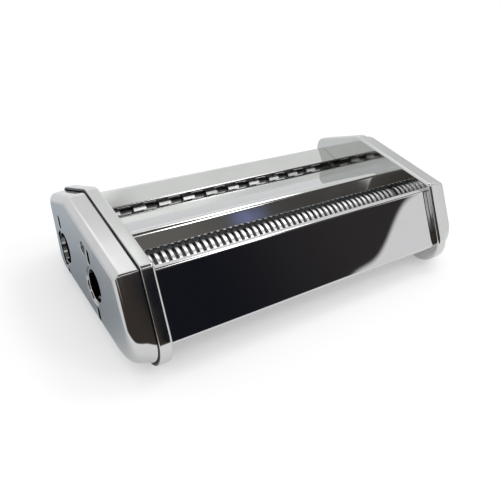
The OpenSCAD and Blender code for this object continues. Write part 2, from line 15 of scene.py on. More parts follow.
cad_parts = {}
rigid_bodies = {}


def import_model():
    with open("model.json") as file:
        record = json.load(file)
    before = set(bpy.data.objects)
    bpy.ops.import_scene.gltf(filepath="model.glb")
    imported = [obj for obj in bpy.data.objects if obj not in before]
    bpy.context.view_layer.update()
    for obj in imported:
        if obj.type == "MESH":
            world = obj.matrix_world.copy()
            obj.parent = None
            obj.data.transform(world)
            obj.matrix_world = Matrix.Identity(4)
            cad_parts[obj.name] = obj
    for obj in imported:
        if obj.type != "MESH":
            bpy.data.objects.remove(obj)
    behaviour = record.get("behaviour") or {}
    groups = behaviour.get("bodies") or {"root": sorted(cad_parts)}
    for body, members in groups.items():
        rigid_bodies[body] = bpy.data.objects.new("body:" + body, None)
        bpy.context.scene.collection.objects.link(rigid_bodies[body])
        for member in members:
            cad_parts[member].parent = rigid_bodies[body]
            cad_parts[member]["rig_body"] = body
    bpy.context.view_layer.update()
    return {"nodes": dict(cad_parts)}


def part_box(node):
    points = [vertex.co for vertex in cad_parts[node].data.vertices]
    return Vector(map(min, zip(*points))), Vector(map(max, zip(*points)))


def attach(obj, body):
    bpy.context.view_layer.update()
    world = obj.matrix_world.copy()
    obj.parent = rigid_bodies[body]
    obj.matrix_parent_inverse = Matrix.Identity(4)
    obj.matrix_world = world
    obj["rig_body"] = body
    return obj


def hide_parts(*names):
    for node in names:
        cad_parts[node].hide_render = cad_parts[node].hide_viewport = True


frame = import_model()

LOG = logging.getLogger("cutter_head")
Triple = tuple[float, float, float]
Colour = Triple
Edges = list[bmesh.types.BMEdge]

MM = 0.001
CREASE = math.radians(32)  # edges that turn by more stay sharp
FLAT = math.radians(0.3)  # faces that turn by less are made one
WELD = 2e-6  # vertices of a CAD node that lie closer are one
SAME = 1e-7  # vertices of a drawing that lie closer are one
FACE_WEIGHT = 50
ARC_STEPS = 12

WHITE = (1.0, 1.0, 1.0)
BLACK = (0.0, 0.0, 0.0)


class Signal:
    """A number that a node gives, usable in sums."""

    def __init__(self, board: Board, socket: bpy.types.NodeSocket) -> None:
        """Keep the board and the socket."""
        self.board = board
        self.socket = socket

    def __add__(self, other: Any) -> Signal:
        """Return self + other."""
        return self.board.math("ADD", self, other)

    def __radd__(self, other: Any) -> Signal:
        """Return other + self."""
        return self.board.math("ADD", other, self)

    def __sub__(self, other: Any) -> Signal:
        """Return self - other."""
        return self.board.math("SUBTRACT", self, other)

    def __rsub__(self, other: Any) -> Signal:
        """Return other - self."""
        return self.board.math("SUBTRACT", other, self)

    def __mul__(self, other: Any) -> Signal:
        """Return self * other."""
        return self.board.math("MULTIPLY", self, other)

    def __rmul__(self, other: Any) -> Signal:
        """Return other * self."""
        return self.board.math("MULTIPLY", other, self)

    def __pow__(self, other: Any) -> Signal:
        """Return self to the power of other."""
        return self.board.math("POWER", self, other)

    def low(self, other: Any) -> Signal:
        """Return the smaller of self and other."""
        return self.board.math("MINIMUM", self, other)

    def ease(self, start: Any, stop: Any) -> Signal:
        """Ease from 0 to 1.

        Args:
            start: value or signal at which the result is 0.
            stop: value or signal at which the result is 1.

        Returns:
            The eased signal.
        """
        node = self.board.add("ShaderNodeMapRange", {"interpolation_type": "SMOOTHSTEP"},
                              {"Value": self, "From Min": start, "From Max": stop})
        return Signal(self.board, node.outputs[0])


@dataclass(frozen=True)
class Step:
    """A soft step over a signal: 0 before start and height after stop, from above if start is higher."""

    start: float
    stop: float
    height: float = 1.0

    def over(self, signal: Signal) -> Signal:
        """Return the step over a signal."""
        if self.start < self.stop:
            return signal.ease(self.start, self.stop) * self.height
        return (1.0 - signal.ease(self.stop, self.start)) * self.height


@dataclass(frozen=True)
class Hump:
    """A soft hump over a signal: height at middle and 0 further than half away."""

    middle: float
    half: float
    height: float = 1.0

    def over(self, signal: Signal) -> Signal:
        """Return the hump over a signal."""
        away = signal.board.math("ABSOLUTE", signal - self.middle)
        return (1.0 - away.ease(0.0, self.half)) * self.height


@dataclass(frozen=True)
class Pattern:
    """A noise: cells per metre, octaves and the strength of the finer ones."""

    scale: float
    detail: float = 2.0
    rough: float = 0.5


class Board:
    """A node tree that a material or the world is drawn on."""

    def __init__(self, tree: bpy.types.NodeTree) -> None:
        """Clear the tree and keep it."""
        tree.nodes.clear()
        self.tree = tree

    def add(self, kind: str, settings: dict[str, Any] | None = None,
            inputs: dict[Any, Any] | None = None) -> bpy.types.Node:
        """Add a node.

        Args:
            kind: the node's type.
            settings: its properties, set first.
            inputs: values, signals or sockets for its sockets, by name or number.

        Returns:
            The new node.
        """
        node = self.tree.nodes.new(kind)
        for key, value in (settings or {}).items():
            setattr(node, key, value)
        for key, value in (inputs or {}).items():
            if isinstance(value, Signal):
                value = value.socket
            if isinstance(value, bpy.types.NodeSocket):
                self.tree.links.new(value, node.inputs[key])
            else:
                node.inputs[key].default_value = value
        return node

    def math(self, operation: str, first: Any, second: Any = 0.0) -> Signal:
        """Add a Math node.

        Args:
            operation: the Math node's operation.
            first: its first value or signal.
            second: its second value or signal.

        Returns:
            The result as a signal.
        """
        node = self.add("ShaderNodeMath", {"operation": operation}, {0: first, 1: second})
        return Signal(self, node.outputs[0])

    def blend(self, factor: Any, first: Any, second: Any) -> bpy.types.NodeSocket:
        """Mix two colours.

        Args:
            factor: share of the second colour.
            first: a colour or a socket.
            second: a colour or a socket.

        Returns:
            The mixed colour's socket.
        """
        first, second = ((*c, 1.0) if isinstance(c, tuple) else c for c in (first, second))
        node = self.add("ShaderNodeMix", {"data_type": "RGBA"}, {0: factor, 6: first, 7: second})
        return node.outputs[2]

    def noise(self, vector: bpy.types.NodeSocket, pattern: Pattern) -> Signal:
        """Return a noise over coordinates, about 0 to 1."""
        node = self.add("ShaderNodeTexNoise", {"noise_dimensions": "3D"},
                        {"Vector": vector, "Scale": pattern.scale, "Detail": pattern.detail,
                         "Roughness": pattern.rough})
        return Signal(self, node.outputs["Fac"])

    def coordinates(self, kind: str) -> bpy.types.NodeSocket:
        """Return the coordinates of a kind that Texture Coordinate gives."""
        return self.add("ShaderNodeTexCoord").outputs[kind]

    def stretched(self, vector: bpy.types.NodeSocket, scale: Sequence[float]) -> bpy.types.NodeSocket:
        """Return coordinates scaled along each axis."""
        return self.add("ShaderNodeMapping", None, {"Vector": vector, "Scale": scale}).outputs[0]

    def parts(self, vector: bpy.types.NodeSocket) -> tuple[Signal, Signal, Signal]:
        """Return the x, y and z of a vector."""
        x, y, z = self.add("ShaderNodeSeparateXYZ", None, {0: vector}).outputs
        return Signal(self, x), Signal(self, y), Signal(self, z)

    def rays(self) -> tuple[Signal, Signal]:
        """Return whether a ray comes from the camera, and whether from gloss or glass."""
        path = self.add("ShaderNodeLightPath").outputs
        gloss = (Signal(self, path["Is Glossy Ray"]) + Signal(self, path["Is Transmission Ray"])).low(1.0)
        return Signal(self, path["Is Camera Ray"]), gloss

    def turn(self, x: Signal, y: Signal) -> Signal:
        """Return the degrees by which x, y is turned from the front, positive to the right."""
        return self.math("ARCTAN2", x, y * -1.0) * math.degrees(1)


class Grain(Enum):
    """Direction of the marks that making leaves in a metal, as a scale along each axis."""

    ROLLED = (0.02, 1.0, 1.0)
    TURNED = (1.0, 0.03, 0.03)
    EVEN = (1.0, 1.0, 1.0)


@dataclass(frozen=True)
class Wear:
    """How making and handling show on every metal, and the painted shade that some finishes put in their
    hollows.
    """

    haze: Pattern = Pattern(55.0, 4.0, 0.55)
    haze_shows: Step = Step(0.42, 0.72)
    haze_dulls: float = 0.6
    specks: Pattern = Pattern(900.0)
    specks_show: Step = Step(0.70, 0.78)
    specks_dull: float = 0.4
    mark_detail: float = 3.0
    mark_rough: float = 0.6
    marks_roughen: float = 0.5
    ripple_detail: float = 1.0
    ripple_rough: float = 0.3
    # painted shade: the dark colour that hollows are painted with, and how much it roughens them
    painted_shade: Colour = (0.13, 0.13, 0.13)
    painted_shade_roughens: float = 0.2


WEAR = Wear()


@dataclass(frozen=True)
class Metal:
    """A metal finish with sheet ripple, grain, handling haze, fine scratches and specks."""

    name: str
    slot: str
    colour: Colour
    dull: Colour
    roughness: float
    haze: float
    grain: Grain = Grain.ROLLED
    grain_scale: float = 2600.0
    grain_height: float = 0.4e-6
    ripple_scale: float = 26.0
    ripple_height: float = 12e-6
    metallic: float = 1.0

    def material(self) -> bpy.types.Material:
        """Return the finish's material, made once."""
        return bpy.data.materials.get(f"{self.name}_finish") or self._make()

    def painted_shade(self, board: Board, place: bpy.types.NodeSocket) -> Signal | float:
        """Return how far painted shade darkens the surface at a place; a finish without painted shade has
        none.
        """
        return 0.0

    def _make(self) -> bpy.types.Material:
        """Draw the material's nodes.

        Returns:
            The new material.
        """
        made = bpy.data.materials.new(f"{self.name}_finish")
        made.use_nodes = True
        made.diffuse_color = (*self.colour, 1.0)
        board = Board(made.node_tree)
        place = board.coordinates("Object")
        marks = board.noise(board.stretched(place, self.grain.value),
                            Pattern(self.grain_scale, WEAR.mark_detail, WEAR.mark_rough))
        haze = WEAR.haze_shows.over(board.noise(place, WEAR.haze))
        specks = WEAR.specks_show.over(board.noise(place, WEAR.specks))
        ripple = board.noise(place, Pattern(self.ripple_scale, WEAR.ripple_detail, WEAR.ripple_rough))
        height = marks * self.grain_height + ripple * self.ripple_height
        bump = board.add("ShaderNodeBump", None, {"Strength": 1.0, "Distance": 1.0, "Height": height})
        dulled = (haze * WEAR.haze_dulls + specks * WEAR.specks_dull).low(1.0)
        # painted shade: how far this finish darkens its hollows to stand in for shade
        painted_shade = self.painted_shade(board, place)
        roughness = haze * self.haze + marks * (self.haze * WEAR.marks_roughen) + self.roughness
        shader = board.add("ShaderNodeBsdfPrincipled", None, {
            "Base Color": board.blend(painted_shade, board.blend(dulled, self.colour, self.dull), WEAR.painted_shade),
            "Metallic": self.metallic,
            "Roughness": roughness + painted_shade * WEAR.painted_shade_roughens,
            "Normal": bump.outputs[0]})
        board.add("ShaderNodeOutputMaterial", None, {"Surface": shader.outputs[0]})
        return made


@dataclass(frozen=True)
class CutterSteel(Metal):
    """Turned steel whose grooves are painted dark between the bright discs, as painted shade."""

    axis: tuple[float, float] = (0.0, 0.0)
    # painted shade in the grooves: full inside the first radius, gone past the second, at least the given
    # share and varying at random
    shade_full_r: float = 6.0
    shade_gone_r: float = 6.5
    shade_least: float = 0.72
    shade_varies: float = 0.25
    shade_pattern: Pattern = Pattern(300.0, 3.0)

    def painted_shade(self, board: Board, place: bpy.types.NodeSocket) -> Signal:
        """Return the painted shade's strength from the distance to the roller's axis.

        Args:
            board: the material's board.
            place: object coordinates.

        Returns:
            A signal that is high in the grooves and 0 on the discs.
        """
        _, y, z = board.parts(place)
        radius = ((y - self.axis[0] * MM) ** 2.0 + (z - self.axis[1] * MM) ** 2.0) ** 0.5
        groove_shade = 1.0 - radius.ease(self.shade_full_r * MM, self.shade_gone_r * MM)
        return groove_shade * (board.noise(place, self.shade_pattern) * self.shade_varies + self.shade_least)


SHEET = Metal("polished_steel", "polished_sheet", colour=(0.61, 0.62, 0.61), dull=(0.56, 0.57, 0.56),
              roughness=0.05, haze=0.05)
MIRROR = Metal("front_mirror", "front_mirror", colour=(0.60, 0.60, 0.61), dull=(0.57, 0.57, 0.58),
               roughness=0.015, haze=0.01, grain_height=0.03e-6, ripple_height=4e-6)
CHROME = Metal("cap_chrome", "cap_chrome", colour=(0.60, 0.605, 0.60), dull=(0.56, 0.565, 0.56),
               roughness=0.05, haze=0.05, grain=Grain.EVEN, grain_scale=900.0,
               ripple_scale=45.0, ripple_height=14e-6)
# painted shade: near black for the bands' outer faces, standing in for the shaded gap between band and cap
PAINTED_GAP_SHADE = Metal("cut_edge", "polished_sheet", colour=(0.06, 0.06, 0.06), dull=(0.04, 0.04, 0.04),
                 roughness=0.35, haze=0.15, grain_scale=3000.0, grain_height=1.5e-6,
                 ripple_scale=90.0, ripple_height=3e-6)
DARK = Metal("dark_steel", "dark_steel", colour=(0.30, 0.30, 0.31), dull=(0.20, 0.20, 0.20),
             roughness=0.30, haze=0.15, grain=Grain.TURNED, grain_scale=3600.0, grain_height=1.5e-6,
             ripple_scale=120.0, ripple_height=3e-6)
GEAR = Metal("gear_steel", "gear_steel", colour=(0.52, 0.49, 0.44), dull=(0.36, 0.33, 0.29),
             roughness=0.32, haze=0.16, grain=Grain.EVEN, grain_scale=2400.0, grain_height=2e-6,
             ripple_scale=200.0, ripple_height=4e-6)
ROD = Metal("rod_steel", "rod_steel", colour=(0.56, 0.56, 0.57), dull=(0.46, 0.46, 0.46),
            roughness=0.20, haze=0.10, grain=Grain.TURNED, grain_scale=3800.0, grain_height=1.2e-6,
            ripple_scale=80.0, ripple_height=2e-6)
# painted shade: the combs are near black to stand in for the shade they sit in under the covers
PAINTED_SHADE_COMB = Metal("comb_steel", "comb_steel", colour=(0.13, 0.14, 0.14), dull=(0.08, 0.085, 0.085),
             roughness=0.30, haze=0.12, grain_scale=3000.0, grain_height=1.2e-6,
             ripple_scale=90.0, ripple_height=3e-6)
BUSH = Metal("bush_plastic", "bush_plastic", colour=(0.30, 0.30, 0.29), dull=(0.26, 0.26, 0.25),
             roughness=0.42, haze=0.10, grain=Grain.EVEN, grain_scale=1500.0, grain_height=3e-6,
             ripple_scale=200.0, ripple_height=6e-6, metallic=0.0)
FINE_STEEL = CutterSteel("cutter", "roller_steel", colour=(0.78, 0.78, 0.78), dull=(0.70, 0.70, 0.69),
                         roughness=0.28, haze=0.08, grain=Grain.TURNED, grain_scale=5200.0,
                         grain_height=1.0e-6, ripple_scale=60.0, ripple_height=2e-6)
# the wide cutters' painted groove shade reaches further out
WIDE_STEEL = replace(FINE_STEEL, roughness=0.34, shade_full_r=6.6, shade_gone_r=7.2)


def place_object(name: str, data: bpy.types.ID) -> bpy.types.Object:
    """Return a new object with this data in the scene."""
    placed = bpy.data.objects.new(name, data)
    bpy.context.scene.collection.objects.link(placed)
    return placed


def as_piece(work: bmesh.types.BMesh, name: str, node: str, finish: Metal) -> bpy.types.Object:
    """Turn a bmesh into a dressed object that stands for a CAD node.

    Args:
        work: the shape, which is freed.
        name: the object's name.
        node: the CAD node that it replaces and moves with.
        finish: its metal.

    Returns:
        The new object.
    """
    for face in work.faces:
        face.smooth = True
    for edge in work.edges:
        edge.smooth = len(edge.link_faces) == 2 and edge.calc_face_angle(0.0) < CREASE
    mesh = bpy.data.meshes.new(name)
    work.to_mesh(mesh)
    work.free()
    mesh.materials.append(finish.material())
    piece = place_object(name, mesh)
    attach(piece, frame["nodes"][node]["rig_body"])
    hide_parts(node)
    return piece


def soften(piece: bpy.types.Object, width: float, segments: int = 2, angle: float = CREASE) -> None:
    """Round a piece's sharp edges.

    Args:
        piece: the piece.
        width: width of the rounding in millimetres.
        segments: faces across it.
        angle: least angle of an edge that is rounded.
    """
    bevel = piece.modifiers.new("soft_edges", "BEVEL")
    bevel.width = width * MM
    bevel.segments = segments
    bevel.limit_method = "ANGLE"
    bevel.angle_limit = angle
    bevel.harden_normals = True


def steady(piece: bpy.types.Object) -> None:
    """Keep a piece's large faces flat to the light."""
    normals = piece.modifiers.new("flat_faces", "WEIGHTED_NORMAL")
    normals.keep_sharp = True
    normals.weight = FACE_WEIGHT


@dataclass
class Skin:
    """A merged and shaded copy of a CAD node, with its corners softened."""

    node: str
    finish: Metal
    width: float = 0.12

    def build(self) -> bpy.types.Object:
        """Make the copy and put it in the node's place.

        Returns:
            The finished piece.
        """
        work = bmesh.new()
        work.from_mesh(frame["nodes"][self.node].data)
        bmesh.ops.remove_doubles(work, verts=work.verts, dist=WELD)
        bmesh.ops.dissolve_limit(work, angle_limit=FLAT, verts=work.verts, edges=work.edges)
        piece = as_piece(work, f"{self.node}_skin", self.node, self.finish)
        if self.width:
            soften(piece, self.width)
        steady(piece)
        return piece


@dataclass(frozen=True)
class SideOutline:
    """Side outline of the head in millimetres: y back and z up from the plates' front top corner."""

    inner_w: float = 146.0
    front_h: float = 40.2
    rear_d: float = 82.6
    rim_run: float = 52.7
    rim_tilt: float = math.radians(5.8)
    shoulder_fall: float = math.radians(23.5)
    front_lean: float = math.radians(58.8)
    radii: tuple[float, ...] = (2.5, 11.5, 8.0, 5.5, 7.0)

    @property
    def corners(self) -> list[Vector]:
        """Return the outline's corners: rim front, base front, base rear, shoulder, rim rear."""
        rim = self.rim_run * math.tan(self.rim_tilt)
        shoulder = rim - (self.rear_d - self.rim_run) * math.tan(self.shoulder_fall)
        return [Vector((0, 0)), Vector((-self.front_h / math.tan(self.front_lean), -self.front_h)),
                Vector((self.rear_d, -self.front_h)), Vector((self.rear_d, shoulder)),
                Vector((self.rim_run, rim))]

    @property
    def centre_y(self) -> float:
        """Return the y halfway between the foremost and the rearmost point."""
        foremost = self.corners[1].x + self.radii[1] / math.tan(self.front_lean / 2) - self.radii[1]
        return (foremost + self.rear_d) / 2


OUTLINE = SideOutline()


def inset(corners: Sequence[Vector], steps: Sequence[float]) -> list[Vector]:
    """Move each side of a closed outline inwards.

    Args:
        corners: the outline's corners.
        steps: how far the side that follows each corner moves.

    Returns:
        The new corners.
    """
    count = len(corners)
    along = [(corners[(i + 1) % count] - corners[i]).normalized() for i in range(count)]
    moved = [corners[i] + steps[i] * Vector((-along[i].y, along[i].x)) for i in range(count)]
    met = []
    for i in range(count):
        reach = along[i - 1] * (moved[i] - moved[i - 1]).cross(along[i])
        met.append(moved[i - 1] + reach / along[i - 1].cross(along[i]))
    return met


class Draft:
    """A bmesh drawn in the side outline's millimetres, section by section."""

    def __init__(self, side: int, start: float, arc_steps: int = ARC_STEPS) -> None:
        """Begin a drawing.

        Args:
            side: -1 where depth runs to the left, 1 where it runs to the right.
            start: distance of depth 0 from the middle of the head.
            arc_steps: faces in each rounded corner.
        """
        self.side = side
        self.start = start
        self.arc_steps = arc_steps
        self.work = bmesh.new()

    def _since(self, known: set[bmesh.types.BMEdge]) -> Edges:
        """Return the edges drawn since these were known."""
        return [edge for edge in self.work.edges if edge not in known]

    def at(self, depth: float, point: Vector) -> Vector:
        """Return where a point of the outline lies in metres at a depth."""
        return Vector((self.side * (self.start + depth), point.x - OUTLINE.centre_y,
                       point.y + OUTLINE.front_h)) * MM

    def bend(self, depth: float, before: Vector, corner: Vector, after: Vector,
             radius: float) -> tuple[bmesh.types.BMVert, bmesh.types.BMVert]:
        """Draw the arc that rounds a corner.

        Args:
            depth: depth of the section.
            before: the point that leads to the corner.
            corner: the corner.
            after: the point that follows it.
            radius: the arc's radius; a radius of 0 leaves a point.

        Returns:
            The arc's first and last vertex.
        """
        to_before, to_after = (before - corner).normalized(), (after - corner).normalized()
        half = to_before.angle(to_after) / 2
        first = self.work.verts.new(self.at(depth, corner + to_before * radius / math.tan(half)))
        if not radius:
            return first, first
        middle = corner + (to_before + to_after).normalized() * radius / math.sin(half)
        turn = math.copysign(math.pi - 2 * half, (corner - before).cross(after - corner))
        swept = bmesh.ops.spin(self.work, geom=[first], cent=self.at(depth, middle), axis=(1, 0, 0),
                               angle=turn, steps=self.arc_steps)
        return first, swept["geom_last"][0]

    def outline(self, depth: float, corners: Sequence[Vector], radii: Sequence[float]) -> Edges:
        """Draw a closed outline with rounded corners.

        Args:
            depth: depth of the section.
            corners: its corners.
            radii: the radius at each corner.

        Returns:
            The outline's edges.
        """
        known = set(self.work.edges)
        count = len(corners)
        arcs = [self.bend(depth, corners[i - 1], corners[i], corners[(i + 1) % count], radii[i])
                for i in range(count)]
        for i in range(count):
            self.work.edges.new((arcs[i - 1][1], arcs[i][0]))
        return self._since(known)

    def strip(self, depth: float, path: Sequence[Vector], radii: Sequence[float]) -> Edges:
        """Draw an open path with rounded bends.

        Args:
            depth: depth of the section.
            path: its points.
            radii: the radius at each point; the two ends have none.

        Returns:
            The path's edges.
        """
        known = set(self.work.edges)
        last = self.work.verts.new(self.at(depth, path[0]))
        for i in range(1, len(path) - 1):
            first, after = self.bend(depth, path[i - 1], path[i], path[i + 1], radii[i])
            self.work.edges.new((last, first))
            last = after
        self.work.edges.new((last, self.work.verts.new(self.at(depth, path[-1]))))
        return self._since(known)

    def circle(self, depth: float, middle: Vector, radius: float, segments: int = 48) -> Edges:
        """Draw a circle in the plane of the section.

        Args:
            depth: depth of the section.
            middle: its centre.
            radius: its radius.
            segments: its edges.

        Returns:
            The circle's edges.
        """
        known = set(self.work.edges)
        turned = Matrix.Translation(self.at(depth, middle)) @ Matrix.Rotation(math.pi / 2, 4, "Y")
        bmesh.ops.create_circle(self.work, cap_ends=False, radius=radius * MM, segments=segments,
                                matrix=turned)
        return self._since(known)

    def join(self, *rings: Edges) -> None:
        """Bridge each ring to the next, or fill the flat space between two that share a plane."""
        for near, far in zip(rings, rings[1:]):
            if abs(near[0].verts[0].co.x - far[0].verts[0].co.x) < SAME:
                self.fill(near, far)
            else:
                bmesh.ops.bridge_loops(self.work, edges=near + far)

    def fill(self, *rings: Edges) -> None:
        """Fill the flat space that the first ring bounds, leaving the other rings open."""
        bmesh.ops.triangle_fill(self.work, use_beauty=True, use_dissolve=False, normal=(1, 0, 0),
                                edges=[edge for ring in rings for edge in ring])

    def close(self) -> bmesh.types.BMesh:
        """Merge the drawing's doubles, turn its faces outwards and return it."""
        bmesh.ops.remove_doubles(self.work, verts=self.work.verts, dist=SAME)
        bmesh.ops.recalc_face_normals(self.work, faces=self.work.faces)
        return self.work


def quarter(steps: int) -> list[tuple[float, float]]:
    """Return the pairs (1 - cos, 1 - sin) at equal steps of a quarter turn."""
    turns = [math.pi / 2 * k / steps for k in range(steps + 1)]
    return [(1 - math.cos(a), 1 - math.sin(a)) for a in turns]


def cut_out(whole: bmesh.types.BMesh, tool: bmesh.types.BMesh) -> bmesh.types.BMesh:
    """Cut one closed shape out of another.

    Args:
        whole: the shape that is cut; it is freed.
        tool: the shape that is taken out of it; it is freed.

    Returns:
        What is left.
    """
    blanks = []
    for name, work in (("whole", whole), ("tool", tool)):
        mesh = bpy.data.meshes.new(name)
        work.to_mesh(mesh)
        work.free()
        blanks.append(place_object(name, mesh))
    cut = blanks[0].modifiers.new("cut", "BOOLEAN")
    cut.operation = "DIFFERENCE"
    cut.solver = "EXACT"
    cut.object = blanks[1]
    left = bmesh.new()
    left.from_object(blanks[0], bpy.context.evaluated_depsgraph_get())
    for blank in blanks:
        bpy.data.meshes.remove(blank.data)
    return left


class Pair(Enum):
    """The two pairs of cutters."""

    FINE = "fine"
    WIDE = "wide"


class Part(Enum):
    """A roller's part in its pair: the crank turns the drive, and the follower meshes with it."""

    DRIVE = "drive"
    FOLLOWER = "follower"


@dataclass(frozen=True)
class Axes:
    """Where the four roller axes lie, in the side outline's millimetres."""

    axis_gap: float = 14.2
    fine_nip_y: float = 14.9
    fine_z: float = -19.7
    wide_nip_in: float = 19.1
    wide_z: float = -22.9

    def nip(self, pair: Pair) -> tuple[float, float]:
        """Return y and z of the middle between a pair's axes."""
        if pair is Pair.FINE:
            return self.fine_nip_y, self.fine_z
        return OUTLINE.rear_d - self.wide_nip_in, self.wide_z

    def at(self, pair: Pair, part: Part) -> Vector:
        """Return one roller's axis; both drives lie towards the middle of the head."""
        y, z = self.nip(pair)
        to_rear = (pair is Pair.FINE) == (part is Part.DRIVE)
        return Vector((y + (self.axis_gap / 2 if to_rear else -self.axis_gap / 2), z))

    def every(self) -> list[Vector]:
        """Return all four axes."""
        return [self.at(pair, part) for pair in Pair for part in Part]


AXES = Axes()


def rod_axis(rod: str) -> Vector:
    """Return where a tie rod runs, in the side outline's millimetres."""
    low, high = (Vector(corner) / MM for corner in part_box(rod))
    return Vector(((low.y + high.y) / 2 + OUTLINE.centre_y, (low.z + high.z) / 2 - OUTLINE.front_h))


class End(Enum):
    """The head's two ends, as the direction of X in which each looks."""

    LEFT = -1
    RIGHT = 1


ENDS = tuple(end.name.lower() for end in End)
RODS = ("front_tie_rod", "upper_tie_rod", "lower_tie_rod")


@dataclass
class EndFrame:
    """One end plate with its band, its cap and the cap's screw, in millimetres."""

    end: End
    cap_depth: float
    band_w: float = 5.4
    band_t: float = 1.2
    web_t: float = 1.5
    inner_round: float = 1.2
    inner_steps: int = 6
    outer_round: float = 0.5
    outer_steps: int = 4
    least_band_r: float = 0.6
    rim_margin: float = 0.02
    bush_hole_r: float = 6.02
    rod_hole_r: float = 1.52
    cap_recess: float = 1.5
    cap_wall: float = 1.6
    cap_rounds: tuple[float, ...] = (2.6, 7.0, 0.0, 4.0, 3.0)
    cap_tightening: tuple[float, ...] = (0.6, 0.15, 0.6, 0.6, 0.6)
    cap_steps: int = 18
    least_cap_r: float = 0.8
    flare: float = 3.5
    rear_top_in: float = 10.0
    rear_base_in: float = 28.0
    edge: float = 0.15
    crank_hole_r: float = 6.6
    ring_w: float = 1.3
    ring_d: float = 0.5
    slot_w: float = 3.0
    slot_l: float = 6.0
    slot_reach: float = 11.6
    slot_tilt: float = math.radians(19)
    slot_end: float = 0.98
    slot_over: float = 1.0
    slot_steps: int = 8
    screw_in: tuple[float, float] = (9.6, 11.7)
    screw_r: float = 1.52
    screw_head_r: float = 2.67
    screw_drop: float = 2.2
    screw_segments: int = 32
    boss_r: float = 3.4

    @property
    def name(self) -> str:
        """Return the end's name."""
        return self.end.name.lower()

    @property
    def drives(self) -> list[Vector]:
        """Return the axes that the crank reaches through this end's cap."""
        return [AXES.at(pair, Part.DRIVE) for pair in Pair] if self.end is End.LEFT else []

    @property
    def screw_axis(self) -> Vector:
        """Return the cap screw's axis."""
        return AXES.at(Pair.FINE, Part.DRIVE) + Vector(self.screw_in)

    @property
    def face(self) -> float:
        """Return the depth of the cap's end face."""
        return self.band_w + self.cap_depth

    def build(self) -> list[bpy.types.Object]:
        """Make the end's pieces."""
        return [self._plate(), self._cap(), Skin(f"{self.name}_cap_screw", DARK).build()]

    def _draft(self, arc_steps: int = ARC_STEPS) -> Draft:
        """Begin a drawing on the plate's inner face."""
        return Draft(self.end.value, OUTLINE.inner_w / 2, arc_steps)

    def _plate(self) -> bpy.types.Object:
        """Loft the plate: a rounded band outside and a web across it.

        Returns:
            The plate.
        """
        draft = self._draft()
        edge = [(self.inner_round * near, self.inner_round * inward)
                for near, inward in quarter(self.inner_steps)]
        edge += [(self.band_w - self.outer_round * near, self.outer_round * inward)
                 for near, inward in reversed(quarter(self.outer_steps))]
        edge += [(self.band_w, self.band_t), (self.web_t, self.band_t)]
        rings = [draft.outline(depth, inset(OUTLINE.corners, [step] * len(OUTLINE.radii)),
                               [max(r - step, self.least_band_r) for r in OUTLINE.radii])
                 for depth, step in edge]
        draft.join(*rings)
        holes = [(axis, self.bush_hole_r) for axis in AXES.every()]
        holes += [(rod_axis(rod), self.rod_hole_r) for rod in RODS]
        holes.append((self.screw_axis, self.screw_r))
        near = [draft.circle(0, axis, radius) for axis, radius in holes]
        far = [draft.circle(self.web_t, axis, radius) for axis, radius in holes]
        for pair in zip(near, far):
            draft.join(*pair)
        draft.fill(rings[0], *near)
        draft.fill(rings[-1], *far)
        piece = as_piece(draft.close(), f"{self.name}_plate", f"{self.name}_end_plate", SHEET)
        # painted shade: the faces beyond the rim, the band's outer side, take the near-black gap shade
        piece.data.materials.append(PAINTED_GAP_SHADE.material())
        rim = OUTLINE.inner_w / 2 + self.band_w - self.rim_margin
        for face in piece.data.polygons:
            face.material_index = int(abs(face.center.x) > rim * MM)
        steady(piece)
        return piece

    def _section(self, depth: float, wall: float = 0.0) -> tuple[list[Vector], list[float]]:
        """Return the cap's outline at a depth beyond the band.

        Args:
            depth: the depth.
            wall: how far the outline lies inside the cap's surface.

        Returns:
            The outline's corners and their radii.
        """
        full = self.cap_depth - wall
        rear = 1 - math.sqrt(max(0.0, 1 - (depth / full) ** 2))
        corners = OUTLINE.corners
        corners[2] -= Vector((self.rear_base_in * rear, 0))
        corners[3] -= self.rear_top_in * rear * Vector((1, -math.tan(OUTLINE.shoulder_fall)))
        steps = []
        for size in self.cap_rounds:
            reach = min(size, full)
            gone = max(0.0, (depth - full + reach) / reach) if reach else 0.0
            steps.append(self.cap_recess + wall + size * (1 - math.sqrt(max(0.0, 1 - gone * gone))))
        near = max(0.0, 1 - depth / self.flare)
        radii = [max(radius - step * (share + (1 - share) * near), self.least_cap_r)
                 for radius, step, share in zip(OUTLINE.radii, steps, self.cap_tightening)]
        return inset(corners, steps), radii

    def _loft(self, draft: Draft, wall: float) -> tuple[Edges, Edges]:
        """Loft one side of the cap's wall.

        Args:
            draft: the cap's drawing.
            wall: how far it lies inside the cap's surface.

        Returns:
            Its first and its last ring.
        """
        rings = [draft.outline(self.web_t, *self._section(0.0, wall))]
        for k in range(self.cap_steps + 1):
            depth = (self.cap_depth - wall) * math.sin(math.pi / 2 * k / self.cap_steps)
            rings.append(draft.outline(self.band_w + depth, *self._section(depth, wall)))
        draft.join(*rings)
        return rings[0], rings[-1]

    def _slots(self) -> bmesh.types.BMesh:
        """Make the tool that cuts the motor slots, flared at the cap's end face.

        Returns:
            The tool.
        """
        draft = self._draft(self.slot_steps)
        along = Vector((math.sin(self.slot_tilt), math.cos(self.slot_tilt)))
        across = Vector((along.y, -along.x))
        sections = ((self.face - self.cap_wall - self.slot_over, 0.0), (self.face - self.edge, 0.0),
                    (self.face + self.slot_over, self.edge + self.slot_over))
        for middle in [axis + way * self.slot_reach * along for axis in self.drives for way in (-1, 1)]:
            rings = []
            for depth, grow in sections:
                radius = self.slot_w / 2 + grow
                far, wide = along * (self.slot_l / 2 + grow), across * radius
                corners = [middle + far + wide, middle - far + wide,
                           middle - far - wide, middle + far - wide]
                rings.append(draft.outline(depth, corners, [radius * self.slot_end] * len(corners)))
            draft.join(*rings)
            draft.fill(rings[0])
            draft.fill(rings[-1])
        return draft.close()

